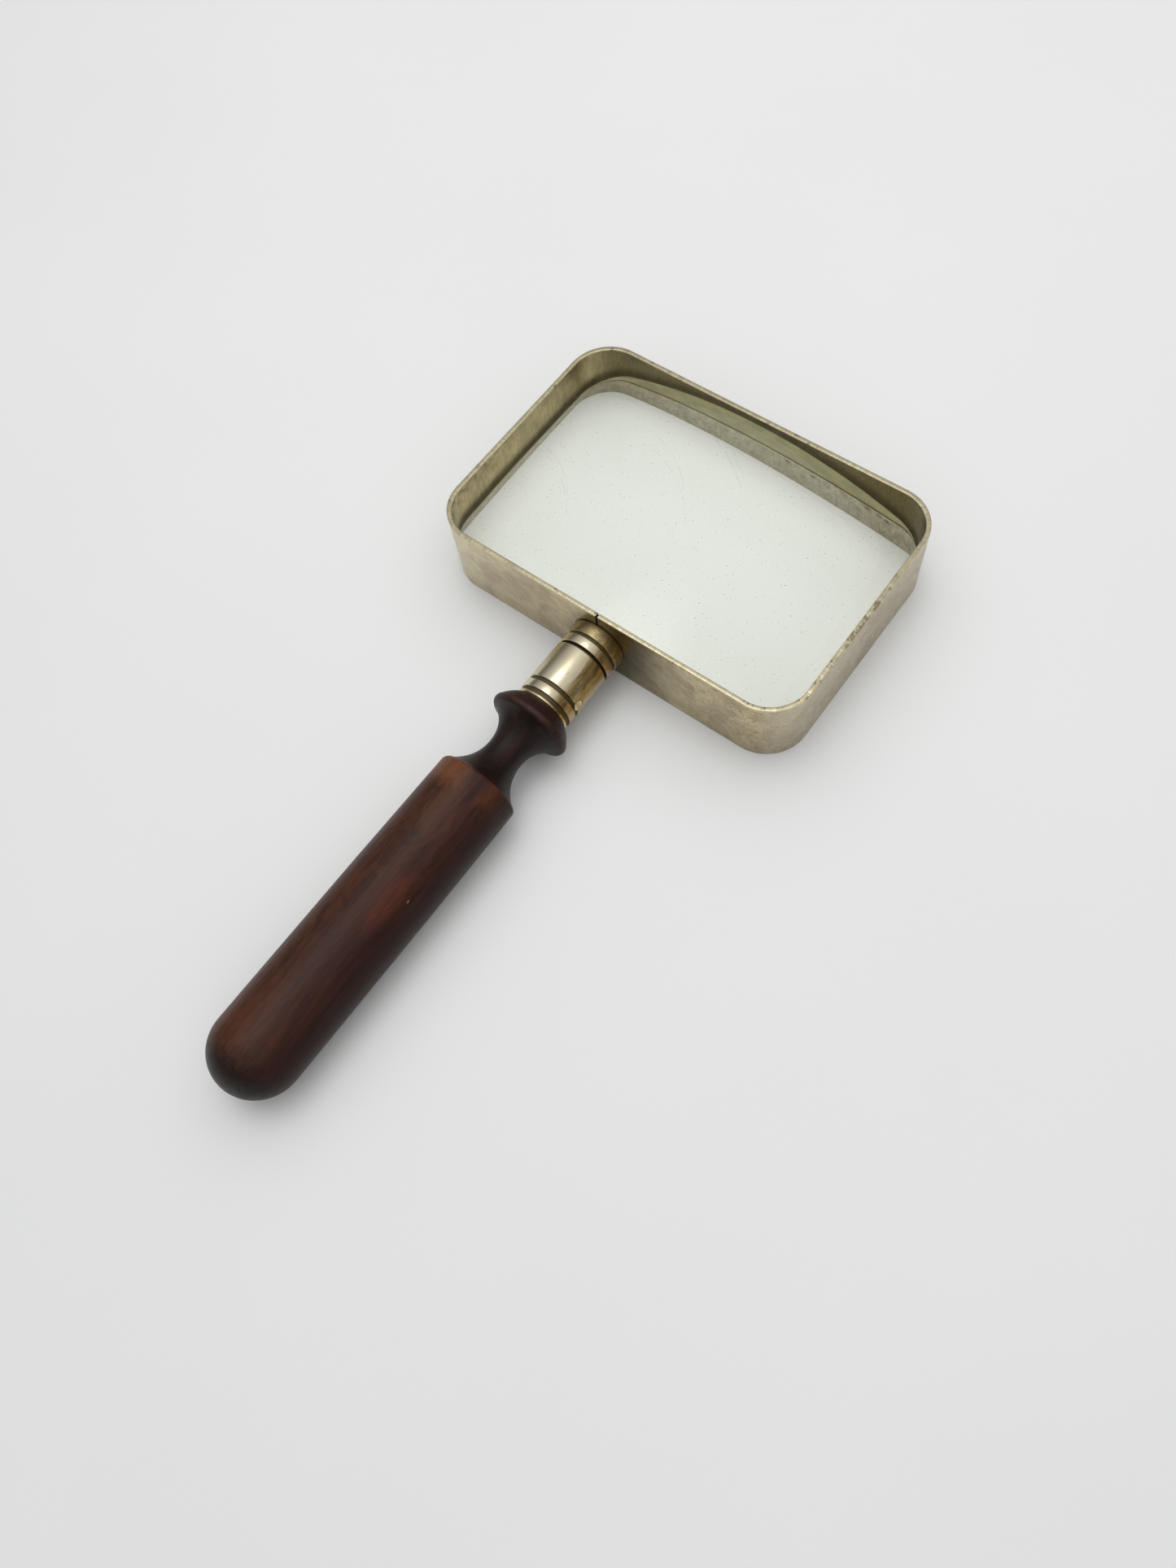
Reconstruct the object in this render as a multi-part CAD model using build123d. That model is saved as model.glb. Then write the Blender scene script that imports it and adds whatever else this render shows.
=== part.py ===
from build123d import *
import math
import os

# Rectangular reading glass: a deep metal band holds a domed lens, and a turned wooden handle screws on
# to a split stud that pulls the two ends of the band together round the glass.
# Millimetres. +X runs along the long side of the lens, the handle points along -Y, +Z is up.
# The origin is the middle of the whole glass's footprint, on the surface that it lies on.

# ---- driving dimensions ----
band_length = 102.0
band_width = 69.0
band_depth = 21.0
band_thickness = 1.2
band_corner_radius = 11.0
rim_chamfer = 0.2
slit_width = 0.45

lens_long_radius = 119.0
lens_cross_radius = 600.0
lens_crest_height = 19.9
lens_crest_offset = -2.5
lens_flat_height = 6.9
lens_bevel_height = 1.2
lens_bevel_reach = 0.5
lens_side_clearance = 0.04
groove_clearance = 0.03

stud_radius = 4.5
stud_length = 12.0
rivet_radius = 2.2
end_chamfer = 0.4
thread_clearance = 0.05
seat_clearance = 0.02

ferrule_radius = 7.1
turned_groove_depth = 0.5
edge_break = 0.12
collar_end = 6.5
collar_groove = (3.4, 4.2)
barrel_start = 7.3
nose_radius = 6.2
wide_groove = (17.8, 18.8)
rear_groove = (20.95, 21.85)
ferrule_end = 22.75
bead_radius = 6.95
bulkhead_front = 12.6
bulkhead_back = 15.2
pin_radius = 1.3
pin_distance = 17.2
pin_angle = 12.0
pin_inner_reach = 2.6

tenon_radius = 5.6
flange_foot_radius = 6.85
flange_swell = (24.1, 8.45)
flange_front = (25.9, 9.75)
flange_crest = (27.0, 10.2)
flange_back = (28.0, 9.6)
cove_entry = (28.5, 7.9)
neck_front = 30.8
neck_distance = 36.0
neck_rear = 40.6
neck_radius = 4.55
flare_exit = (43.2, 6.9)
shoulder = (45.2, 9.1)
shoulder_round = (45.6, 9.9)
grip_front = (46.4, 10.2)
grip_radius = 10.4
grip_straight_start = 76.0
handle_end = 129.6
butt_flat_radius = 0.8

screw_head_radius = 3.6
screw_head_height = 1.9
screw_slot = (0.8, 0.9)
screw_shank_radius = 1.9
screw_taper_start = 40.0
screw_tip = 56.0
screw_tip_radius = 0.4
blind_depth = 0.3

# ---- places that follow from them ----
overall_length = band_width + handle_end
lens_centre_y = overall_length / 2 - band_width / 2
near_face_y = lens_centre_y - band_width / 2
axis_height = band_depth / 2
inner_length = band_length - 2 * band_thickness
inner_width = band_width - 2 * band_thickness
inner_corner_radius = band_corner_radius - band_thickness


def station(distance):
    """Y of a plane across the handle, from its distance behind the band's near face."""
    return near_face_y - distance


def rounded_block(length, width, corner_radius, low, high):
    """Upright block with rounded corners, centred on the lens, between two heights."""
    outline = Pos(0, lens_centre_y, low) * RectangleRounded(length, width, corner_radius)
    return extrude(outline, high - low)


def turned(points):
    """Solid turned about the handle's axis from (distance, radius) corners."""
    corners = [(radius, station(distance)) for distance, radius in points]
    profile = make_face(Polyline(*corners, close=True))
    return Pos(0, 0, axis_height) * revolve(profile, Axis.Y)


def rod(radius, start, end):
    """Plain round bar on the handle's axis between two distances."""
    return turned([(start, 0), (start, radius), (end, radius), (end, 0)])


def bevelled_slab(margin):
    """The lens's V edge as a slab; margin makes it larger, for the groove that it sits in."""
    reach = lens_bevel_reach - lens_side_clearance + margin
    low = lens_flat_height - margin
    high = lens_flat_height + lens_bevel_height + margin
    slab = rounded_block(
        inner_length + 2 * reach, inner_width + 2 * reach, inner_corner_radius + reach, low, high
    )
    rims = slab.edges().group_by(Axis.Z)
    return chamfer(rims[0] + rims[-1], lens_bevel_reach)


def lens_band():
    """Flat strip bent round the lens on edge, grooved inside and slit at the handle."""
    band = rounded_block(band_length, band_width, band_corner_radius, 0, band_depth)
    band -= rounded_block(inner_length, inner_width, inner_corner_radius, 0, band_depth)
    rims = band.edges().group_by(Axis.Z)
    band = chamfer(rims[0] + rims[-1], rim_chamfer)
    band -= bevelled_slab(groove_clearance)
    near_wall = (slit_width, 3 * band_thickness, 2 * band_depth)
    band -= Pos(0, near_face_y + band_thickness / 2, axis_height) * Box(*near_wall)
    band -= rod(rivet_radius, -2 * band_thickness, band_thickness)
    return band


def lens():
    """One thick glass: flat below, domed along its length and almost straight across."""
    margin = 2 * lens_side_clearance
    glass = rounded_block(
        inner_length - margin, inner_width - margin, inner_corner_radius - margin / 2,
        lens_flat_height, band_depth,
    )
    half_span = band_length
    sag = lens_long_radius - math.sqrt(lens_long_radius**2 - half_span**2)
    crest = (lens_crest_offset, lens_crest_height)
    left = (lens_crest_offset - half_span, lens_crest_height - sag)
    right = (lens_crest_offset + half_span, lens_crest_height - sag)
    depth_below = lens_crest_height - 1.5 * sag
    section = Polyline(left, (left[0], depth_below), (right[0], depth_below), right)
    section += ThreePointArc(right, crest, left)
    swing_axis = Axis((0, 0, lens_crest_height - lens_cross_radius), (1, 0, 0))
    swing = 2 * math.degrees(math.asin(band_width / lens_cross_radius))
    face = make_face(Plane.XZ * section).rotate(swing_axis, -swing / 2)
    dome = Pos(0, lens_centre_y, 0) * revolve(face, swing_axis, swing)
    return (glass & dome) + bevelled_slab(0)


def half_stud(side):
    """Half-round stud brazed and riveted to one end of the band; side is -1 left, +1 right."""
    stud = turned([
        (-band_thickness, 0), (-band_thickness, rivet_radius), (0, rivet_radius), (0, stud_radius),
        (stud_length - end_chamfer, stud_radius), (stud_length, stud_radius - end_chamfer),
        (stud_length, 0),
    ])
    half_size = (2 * stud_radius, 3 * stud_length, 4 * stud_radius)
    middle_x = side * (stud_radius + slit_width / 2)
    return stud & (Pos(middle_x, near_face_y, axis_height) * Box(*half_size))


def clamp_collar():
    """Round collar, threaded inside, that draws the two half studs together."""
    start = seat_clearance
    bore = stud_radius + thread_clearance
    floor = ferrule_radius - turned_groove_depth
    groove_start, groove_end = collar_groove
    return turned([
        (start, bore), (start, ferrule_radius - edge_break), (start + edge_break, ferrule_radius),
        (groove_start - edge_break, ferrule_radius), (groove_start, ferrule_radius - edge_break),
        (groove_start, floor), (groove_end, floor),
        (groove_end, ferrule_radius - edge_break), (groove_end + edge_break, ferrule_radius),
        (collar_end - edge_break, ferrule_radius), (collar_end, ferrule_radius - edge_break),
        (collar_end, bore),
    ])


def pin_bar(radius, inner, outer):
    """Bar along the pin's direction, square to the handle's axis, between two radii."""
    bar = Pos(0, 0, (inner + outer) / 2) * Cylinder(radius, outer - inner)
    return Pos(0, station(pin_distance), axis_height) * Rot(0, 90 - pin_angle, 0) * bar


def countersunk_screw(margin):
    """Slotted wood screw's body; margin makes it larger, for the hole that it fills."""
    neck = bulkhead_front + screw_head_height
    shank = screw_shank_radius + margin
    return turned([
        (bulkhead_front, 0), (bulkhead_front, screw_head_radius + margin), (neck, shank),
        (screw_taper_start, shank), (screw_tip + margin, screw_tip_radius + margin),
        (screw_tip + margin, 0),
    ])


def ferrule():
    """Long turned ferrule: threaded front bore, bulkhead, and a socket for the tenon."""
    bore = stud_radius + thread_clearance
    socket = tenon_radius + seat_clearance
    floor = ferrule_radius - turned_groove_depth
    wide_start, wide_end = wide_groove
    rear_start, rear_end = rear_groove
    start = collar_end + seat_clearance
    body = turned([
        (start, bore), (start, nose_radius), (barrel_start, nose_radius),
        (barrel_start, ferrule_radius - edge_break), (barrel_start + edge_break, ferrule_radius),
        (wide_start - edge_break, ferrule_radius), (wide_start, ferrule_radius - edge_break),
        (wide_start, floor), (wide_end, floor),
        (wide_end, ferrule_radius - edge_break), (wide_end + edge_break, ferrule_radius),
        (rear_start - edge_break, ferrule_radius), (rear_start, ferrule_radius - edge_break),
        (rear_start, floor), (rear_end, floor),
        (rear_end, bead_radius - 3 * edge_break), (rear_end + 2 * edge_break, bead_radius),
        (ferrule_end - 2 * edge_break, bead_radius), (ferrule_end, bead_radius - 3 * edge_break),
        (ferrule_end, socket), (bulkhead_back, socket), (bulkhead_back, 0),
        (bulkhead_front, 0), (bulkhead_front, bore),
    ])
    body -= countersunk_screw(seat_clearance)
    return body - pin_bar(pin_radius + seat_clearance, tenon_radius / 2, 2 * ferrule_radius)


def ferrule_pin():
    """Short pin that locks the ferrule to the tenon, filed flush with the barrel."""
    outside = rod(ferrule_radius, bulkhead_front, ferrule_end)
    return pin_bar(pin_radius, pin_inner_reach, 2 * ferrule_radius) & outside


def handle_screw():
    """Slotted screw that ties the ferrule's bulkhead to the wood, past the thin neck."""
    slot_width, slot_depth = screw_slot
    slot = Box(4 * screw_head_radius, 2 * slot_depth, slot_width)
    return countersunk_screw(0) - Pos(0, station(bulkhead_front), axis_height) * slot


def wood_handle():
    """Turned handle: tenon, rounded flange, waisted neck, shoulder, grip and a round butt."""
    def at(distance, radius):
        return (radius, station(distance))

    tenon_face = bulkhead_back + seat_clearance
    foot_face = ferrule_end + seat_clearance
    foot = at(foot_face, flange_foot_radius)
    neck = at(neck_distance, neck_radius)
    butt_start = handle_end - grip_radius
    outline = Polyline(
        at(tenon_face, 0), at(tenon_face, tenon_radius), at(foot_face, tenon_radius), foot
    )
    outline += ThreePointArc(foot, at(*flange_swell), at(*flange_front))
    outline += ThreePointArc(at(*flange_front), at(*flange_crest), at(*flange_back))
    outline += Bezier(at(*flange_back), at(*cove_entry), at(neck_front, neck_radius), neck)
    outline += Bezier(neck, at(neck_rear, neck_radius), at(*flare_exit), at(*shoulder))
    outline += ThreePointArc(at(*shoulder), at(*shoulder_round), at(*grip_front))
    outline += Polyline(
        at(*grip_front), at(grip_straight_start, grip_radius), at(butt_start, grip_radius)
    )
    butt_flat = at(handle_end, butt_flat_radius)
    outline += RadiusArc(at(butt_start, grip_radius), butt_flat, grip_radius)
    outline += Polyline(butt_flat, at(handle_end, 0), at(tenon_face, 0))
    wood = Pos(0, 0, axis_height) * revolve(make_face(outline), Axis.Y)
    wood -= countersunk_screw(seat_clearance)
    return wood - pin_bar(pin_radius + seat_clearance, pin_inner_reach - blind_depth, 2 * tenon_radius)


parts = {
    "lens_band": lens_band(),
    "lens": lens(),
    "left_half_stud": half_stud(-1),
    "right_half_stud": half_stud(1),
    "clamp_collar": clamp_collar(),
    "ferrule": ferrule(),
    "ferrule_pin": ferrule_pin(),
    "handle_screw": handle_screw(),
    "wood_handle": wood_handle(),
}

os.makedirs("parts", exist_ok=True)
for name, shape in parts.items():
    shape.label = name
    export_step(shape, f"parts/{name}.step")
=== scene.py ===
import math
import random
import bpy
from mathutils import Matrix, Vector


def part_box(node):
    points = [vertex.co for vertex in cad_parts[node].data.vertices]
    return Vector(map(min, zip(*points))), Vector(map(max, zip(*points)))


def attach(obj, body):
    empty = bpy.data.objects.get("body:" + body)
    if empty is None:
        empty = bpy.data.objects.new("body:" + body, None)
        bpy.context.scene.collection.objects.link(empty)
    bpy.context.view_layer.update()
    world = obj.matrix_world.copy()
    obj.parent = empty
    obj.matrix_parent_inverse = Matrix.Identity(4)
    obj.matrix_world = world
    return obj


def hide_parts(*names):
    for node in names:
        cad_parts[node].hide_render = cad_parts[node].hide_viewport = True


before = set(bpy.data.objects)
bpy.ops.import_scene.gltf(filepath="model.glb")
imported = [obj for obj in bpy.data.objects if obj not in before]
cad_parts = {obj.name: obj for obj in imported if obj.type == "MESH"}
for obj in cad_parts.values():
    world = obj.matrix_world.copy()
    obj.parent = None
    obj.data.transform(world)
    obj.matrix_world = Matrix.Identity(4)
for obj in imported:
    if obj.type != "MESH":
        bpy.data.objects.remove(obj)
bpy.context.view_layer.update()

from types import SimpleNamespace

import bmesh
import bpy
from mathutils import Vector

# Looks of a rectangular reading glass: brushed nickel band, domed lens, turned ferrule and dark wood.
# Lengths are millimetres, but for the light, the table and the camera's place, which are in metres.

MM = 0.001
band_low, band_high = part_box("lens_band")
lens_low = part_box("lens")[0]
collar_low, collar_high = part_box("clamp_collar")
ferrule_low, ferrule_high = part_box("ferrule")
wood_low, wood_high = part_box("wood_handle")

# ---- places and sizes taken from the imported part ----
near_face_y = band_low.y / MM
lens_centre_y = (band_low.y + band_high.y) / 2 / MM
axis_height = (band_low.z + band_high.z) / 2 / MM
band_length = (band_high.x - band_low.x) / MM
band_width = (band_high.y - band_low.y) / MM
band_depth = (band_high.z - band_low.z) / MM
lens_flat_height = lens_low.z / MM
collar_start = near_face_y - collar_high.y / MM
collar_end = near_face_y - collar_low.y / MM
ferrule_start = near_face_y - ferrule_high.y / MM
ferrule_end = near_face_y - ferrule_low.y / MM
ferrule_radius = (ferrule_high.z - ferrule_low.z) / 2 / MM
tenon_face = near_face_y - wood_high.y / MM
handle_end = near_face_y - wood_low.y / MM
grip_radius = (wood_high.z - wood_low.z) / 2 / MM

# ---- sizes shared with the CAD source; bores, holes and grooves include their clearance ----
band_thickness = 1.2
band_corner_radius = 11.0
rim_chamfer = 0.2
slit_width = 0.45
groove_low = 6.87
groove_high = 8.13
groove_depth = 0.49
rivet_radius = 2.2
lens_long_radius = 119.0
lens_cross_radius = 600.0
lens_crest_height = 19.9
lens_crest_offset = -2.5
lens_bevel_height = 1.2
lens_bevel_reach = 0.5
lens_side_clearance = 0.04
seat_clearance = 0.02
stud_bore = 4.55
thread_pitch = 1.0
socket_radius = 5.62
bulkhead_front = 12.6
bulkhead_back = 15.2
screw_pocket_radius = 3.62
screw_neck = 14.5
screw_hole_radius = 1.92
screw_taper_start = 40.0
screw_hole_end = 56.02
screw_hole_end_radius = 0.42
nose_radius = 6.2
barrel_start = 7.3
turned_groove_floor = 6.6
collar_groove = (3.4, 4.2)
wide_groove = (17.8, 18.8)
rear_groove = (20.95, 21.85)
bead_radius = 6.95
tenon_radius = 5.6
pin_hole_radius = 1.32
pin_distance = 17.2
pin_angle = 12.0
pin_hole_floor = 2.3

# ---- the turned handle's outline, as in the CAD source: (distance behind the band, radius) ----
flange_foot = (ferrule_end + seat_clearance, 6.85)
flange_swell = (24.1, 8.45)
flange_front = (25.9, 9.75)
flange_crest = (27.0, 10.2)
flange_back = (28.0, 9.6)
cove_entry = (28.5, 7.9)
neck_front = (30.8, 4.55)
neck = (36.0, 4.55)
neck_rear = (40.6, 4.55)
flare_exit = (43.2, 6.9)
shoulder = (45.2, 9.1)
shoulder_round = (45.6, 9.9)
grip_front = (46.4, 10.2)
grip_straight = (76.0, grip_radius)
butt_start = (handle_end - grip_radius, grip_radius)

# ---- light: places and sizes in metres, spread in degrees ----
room_low = 0.12
room_high = 0.75
room_spread = (0.15, 1.0)
window_direction = (-0.16, 0.10, 0.98)
window_glow = 2.05
window_spread = (0.935, 0.998)
backdrop_glow = 0.60
lamp_power = 1.01
lamp_place = (-0.08, 0.21, 0.45)
lamp_aim = (-0.04, 0.12, 0)
lamp_size = 0.8
lamp_colour = (1.0, 0.995, 0.98)
fill_direction = (0.45, -0.55, 0.70)
fill_strength = 0.32
fill_spread = 80.0

# half the side of the table, in metres
table_half_size = 3.0

# ---- camera: focal length and sensor in millimetres, place in metres, turn in degrees ----
camera_sensor = 36.0
camera_focal_length = 27.54
camera_place = (0.10451, -0.07714, 0.25386)
camera_turn = (24.556, 5.018, 37.070)

# angle at which meshes turn from smooth to sharp, in degrees
SHARP = 35.0


# ---- mesh helpers ----

def make_piece(name, points, faces, materials, body, node, face_materials=None, sharp=SHARP):
    """Mesh piece from points in millimetres, in place of a CAD node."""
    mesh = bpy.data.meshes.new(name)
    mesh.from_pydata([Vector(p) * MM for p in points], [], faces)
    for material in materials:
        mesh.materials.append(material)
    if face_materials:
        mesh.polygons.foreach_set("material_index", face_materials)
    clean = bmesh.new()
    clean.from_mesh(mesh)
    bmesh.ops.recalc_face_normals(clean, faces=clean.faces)
    clean.to_mesh(mesh)
    clean.free()
    mesh.shade_smooth()
    mesh.set_sharp_from_angle(angle=math.radians(sharp))
    piece = bpy.data.objects.new(name, mesh)
    bpy.context.scene.collection.objects.link(piece)
    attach(piece, body)
    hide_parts(node)
    return piece


def cut(piece, cutter, sharp=SHARP):
    """Take the cutter out of the piece for good, and remove the cutter."""
    modifier = piece.modifiers.new("cut", "BOOLEAN")
    modifier.operation = "DIFFERENCE"
    modifier.solver = "EXACT"
    modifier.object = cutter
    bpy.context.view_layer.update()
    evaluated = piece.evaluated_get(bpy.context.evaluated_depsgraph_get())
    result = bpy.data.meshes.new_from_object(evaluated)
    piece.modifiers.clear()
    piece.data = result
    result.shade_smooth()
    result.set_sharp_from_angle(angle=math.radians(sharp))
    bpy.data.objects.remove(cutter)


def ring_faces(one, two):
    """Faces between two rings of point numbers, one of which may be a single repeated point."""
    faces = []
    for i in range(len(one)):
        j = (i + 1) % len(one)
        faces.append(tuple(dict.fromkeys((one[i], one[j], two[j], two[i]))))
    return faces


def rod_cutter(radius, start, end, steps=48):
    """Closed cylinder between two points, only to cut with."""
    start, end = Vector(start), Vector(end)
    along = (end - start).normalized()
    side = along.orthogonal().normalized()
    other = along.cross(side)
    points = []
    for middle in (start, end):
        for i in range(steps):
            turn = 2 * math.pi * i / steps
            points.append((middle + side * radius * math.cos(turn) + other * radius * math.sin(turn)) * MM)
    faces = ring_faces(range(steps), range(steps, 2 * steps))
    faces.append(tuple(reversed(range(steps))))
    faces.append(tuple(range(steps, 2 * steps)))
    mesh = bpy.data.meshes.new("cutter")
    mesh.from_pydata(points, [], faces)
    cutter = bpy.data.objects.new("cutter", mesh)
    bpy.context.scene.collection.objects.link(cutter)
    return cutter


def soften(corners, radius, steps=3, closed=True):
    """Round each corner of a flat outline, by no more than its shorter side allows."""
    longest_share = 0.45
    count = len(corners)
    rounded = []
    for i, corner in enumerate(corners):
        here = Vector(corner)
        if not closed and i in (0, count - 1):
            rounded.append(tuple(here))
            continue
        before = Vector(corners[i - 1]) - here
        after = Vector(corners[(i + 1) % count]) - here
        reach = min(radius, longest_share * before.length, longest_share * after.length)
        first = here + before.normalized() * reach
        last = here + after.normalized() * reach
        for k in range(steps + 1):
            t = k / steps
            point = first * (1 - t) ** 2 + here * 2 * t * (1 - t) + last * t**2
            rounded.append(tuple(point))
    return rounded


def arc_through(first, middle, last, steps):
    """Points on the circle through three points, without the first."""
    (ax, ay), (bx, by), (cx, cy) = first, middle, last
    area = 2 * (ax * (by - cy) + bx * (cy - ay) + cx * (ay - by))
    a2, b2, c2 = ax * ax + ay * ay, bx * bx + by * by, cx * cx + cy * cy
    centre_x = (a2 * (by - cy) + b2 * (cy - ay) + c2 * (ay - by)) / area
    centre_y = (a2 * (cx - bx) + b2 * (ax - cx) + c2 * (bx - ax)) / area
    radius = math.hypot(ax - centre_x, ay - centre_y)
    start = math.atan2(ay - centre_y, ax - centre_x)
    sweep = math.atan2(cy - centre_y, cx - centre_x) - start
    sweep = (sweep + math.pi) % (2 * math.pi) - math.pi
    turns = [start + sweep * (k + 1) / steps for k in range(steps)]
    return [(centre_x + radius * math.cos(t), centre_y + radius * math.sin(t)) for t in turns]


def line_to(first, last, steps):
    """Evenly spaced points on a straight line, without the first."""
    return [tuple(a + (b - a) * k / steps for a, b in zip(first, last)) for k in range(1, steps + 1)]


def bezier_through(a, b, c, d, steps):
    """Points on a cubic curve, without the first."""
    points = []
    for k in range(1, steps + 1):
        t = k / steps
        weights = ((1 - t) ** 3, 3 * t * (1 - t) ** 2, 3 * t * t * (1 - t), t**3)
        points.append(tuple(sum(w * p[i] for w, p in zip(weights, (a, b, c, d))) for i in (0, 1)))
    return points


def on_handle(distance, radius, turn):
    """Point at a distance behind the band and a radius from the handle's axis."""
    return (radius * math.cos(turn), near_face_y - distance, axis_height + radius * math.sin(turn))


def lathe(name, profile, steps, materials, body, node, closed):
    """Turned piece from (distance, radius) points; an open profile starts and ends on the axis."""
    points, rings = [], []
    for distance, radius in profile:
        if radius == 0:
            rings.append([len(points)] * steps)
            points.append(on_handle(distance, 0, 0))
            continue
        rings.append(list(range(len(points), len(points) + steps)))
        points += [on_handle(distance, radius, 2 * math.pi * i / steps) for i in range(steps)]
    faces = []
    for k in range(len(rings) if closed else len(rings) - 1):
        faces += ring_faces(rings[k], rings[(k + 1) % len(rings)])
    return make_piece(name, points, faces, materials, body, node)


# ---- shader helpers ----

class Nodes:
    """One node tree, with short calls for the nodes that repeat."""

    def __init__(self, tree):
        self.tree = tree

    def feed(self, socket, value):
        if isinstance(value, bpy.types.NodeSocket):
            self.tree.links.new(value, socket)
        elif isinstance(value, tuple) and socket.type == "RGBA":
            socket.default_value = (*value[:3], 1.0)
        else:
            socket.default_value = value

    def add(self, kind, inputs=None, **settings):
        node = self.tree.nodes.new("ShaderNode" + kind)
        for key, value in settings.items():
            setattr(node, key, value)
        for key, value in (inputs or {}).items():
            self.feed(node.inputs[key], value)
        return node

    def math(self, operation, a, b=0.0, c=0.0):
        node = self.add("Math", operation=operation)
        for socket, value in zip(node.inputs, (a, b, c)):
            self.feed(socket, value)
        return node.outputs[0]

    def times(self, *values):
        result = values[0]
        for value in values[1:]:
            result = self.math("MULTIPLY", result, value)
        return result

    def most(self, *values):
        result = values[0]
        for value in values[1:]:
            result = self.math("MAXIMUM", result, value)
        return result

    def flip(self, value):
        return self.math("SUBTRACT", 1.0, value)

    def mix(self, amount, a, b):
        node = self.add("Mix", data_type="RGBA")
        self.feed(node.inputs[0], amount)
        self.feed(node.inputs[6], a)
        self.feed(node.inputs[7], b)
        return node.outputs[2]

    def tint(self, colour, paint, *amounts):
        """A colour with some paint over it, by the product of the amounts."""
        return self.mix(self.times(*amounts), colour, paint)

    def blend(self, amount, a, b):
        node = self.add("Mix", data_type="FLOAT")
        self.feed(node.inputs[0], amount)
        self.feed(node.inputs[2], a)
        self.feed(node.inputs[3], b)
        return node.outputs[0]

    def vector(self, x, y, z):
        node = self.add("CombineXYZ")
        for socket, value in zip(node.inputs, (x, y, z)):
            self.feed(socket, value)
        return node.outputs[0]

    def ramp(self, value, low, high):
        """0 below low, 1 above high, smooth between; low may be the larger."""
        if low > high:
            return self.flip(self.ramp(value, high, low))
        node = self.add("MapRange", {"Value": value, "From Min": low, "From Max": high})
        node.interpolation_type = "SMOOTHSTEP"
        return node.outputs[0]

    def window(self, value, start, end, soft):
        """1 between start and end, falling off over the soft length on either side."""
        rise = self.ramp(value, start - soft, start)
        return self.times(rise, self.ramp(value, end + soft, end))

    def reach(self, a, b):
        """Length of the line across a right angle with sides a and b."""
        return self.math("SQRT", self.math("ADD", self.times(a, a), self.times(b, b)))

    def spot(self, u, v, middle, size, soft=0.6):
        """Soft round or oval patch in two coordinates."""
        du = self.math("DIVIDE", self.math("SUBTRACT", u, middle[0]), size[0])
        dv = self.math("DIVIDE", self.math("SUBTRACT", v, middle[1]), size[1])
        return self.ramp(self.reach(du, dv), 1.0 + soft, 1.0 - soft)

    def noise(self, vector, scale, detail=4.0, roughness=0.55, distortion=0.0):
        node = self.add("TexNoise", {
            "Vector": vector, "Scale": scale, "Detail": detail,
            "Roughness": roughness, "Distortion": distortion,
        })
        return node.outputs[0]

    def bump(self, height, depth_mm, strength=1.0, normal=None):
        node = self.add("Bump", {"Height": height, "Distance": depth_mm * MM, "Strength": strength})
        if normal is not None:
            self.feed(node.inputs["Normal"], normal)
        return node.outputs[0]

    def object_mm(self):
        """Object coordinates in millimetres, as three sockets."""
        point = self.add("TexCoord").outputs["Object"]
        scaled = self.add("VectorMath", {0: point, "Scale": 1 / MM}, operation="SCALE").outputs[0]
        return self.add("SeparateXYZ", {0: scaled}).outputs

    def along_handle(self):
        """Sideways, distance behind the band, and height from the handle's axis."""
        x, y, z = self.object_mm()
        return x, self.math("SUBTRACT", near_face_y, y), self.math("SUBTRACT", z, axis_height)

    def turn_degrees(self, x, height):
        """Angle round the handle's axis: 0 at +X, 90 on top, 180 at -X; it only jumps underneath."""
        from_top = self.math("ARCTAN2", self.times(x, -1.0), height)
        return self.math("ADD", self.times(from_top, 180 / math.pi), 90.0)

    def shaded_side(self, turn, start, full):
        """1 on the right of the handle, below the full angle, and all along underneath."""
        under_start, under_full = 190.0, 262.0
        return self.most(self.ramp(turn, start, full), self.ramp(turn, under_start, under_full))

    def attribute(self, name):
        return self.add("Attribute", attribute_name=name).outputs["Fac"]


class Shader(Nodes):
    """One procedural material."""

    def __init__(self, name):
        self.material = bpy.data.materials.new(name)
        self.material.use_nodes = True
        super().__init__(self.material.node_tree)
        self.tree.nodes.clear()
        self.output = self.tree.nodes.new("ShaderNodeOutputMaterial")

    def finished(self, shader):
        """Join the last shader node to the output, and give the material."""
        self.tree.links.new(shader.outputs[0], self.output.inputs[0])
        return self.material

    def surface(self, **inputs):
        named = {key.replace("_", " "): value for key, value in inputs.items()}
        return self.finished(self.add("BsdfPrincipled", named))


# ---- band ----

# colours of the band's outside, of its olive inside, and of its edges and stains
NICKEL = (0.64, 0.55, 0.35)
NICKEL_DULL = (0.47, 0.385, 0.235)
NICKEL_LIGHT = (0.66, 0.60, 0.42)
NICKEL_PALE = (0.57, 0.50, 0.37)
# painted sheen: lighter nickel for the left end of the near face
NICKEL_SHEEN = (0.76, 0.70, 0.51)
NICKEL_ROSY = (0.56, 0.45, 0.33)
NICKEL_SMEARED = (0.42, 0.345, 0.235)
OLIVE_BRASS = (0.46, 0.375, 0.205)
OLIVE_DULL = (0.35, 0.285, 0.165)
OLIVE_BRIGHT = (0.55, 0.465, 0.27)
# painted shade on the far inner wall above the glass
OLIVE_FAR_SHADE = (0.165, 0.138, 0.072)
# painted shade in the far right inner corner
OLIVE_CORNER_SHADE = (0.135, 0.104, 0.043)
# painted light: lighter wall below the glass, for light that the lens gathers there
UNDER_GLASS = (0.58, 0.535, 0.42)
UNDER_GLASS_DULL = (0.41, 0.365, 0.275)
BRASS = (0.74, 0.60, 0.32)
RIM = (0.52, 0.455, 0.29)
# painted highlight along the rim's edges
RIM_HIGHLIGHT = (0.95, 0.88, 0.66)
# dark of the corrosion pits and the solder line, also used as painted shade in the stripe above the glass
# and beside the collar
GRIME_AND_SHADE = (0.060, 0.046, 0.024)
STAIN = (0.22, 0.165, 0.095)
# painted shade in the slit
SLIT_SHADE = (0.012, 0.009, 0.006)

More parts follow.
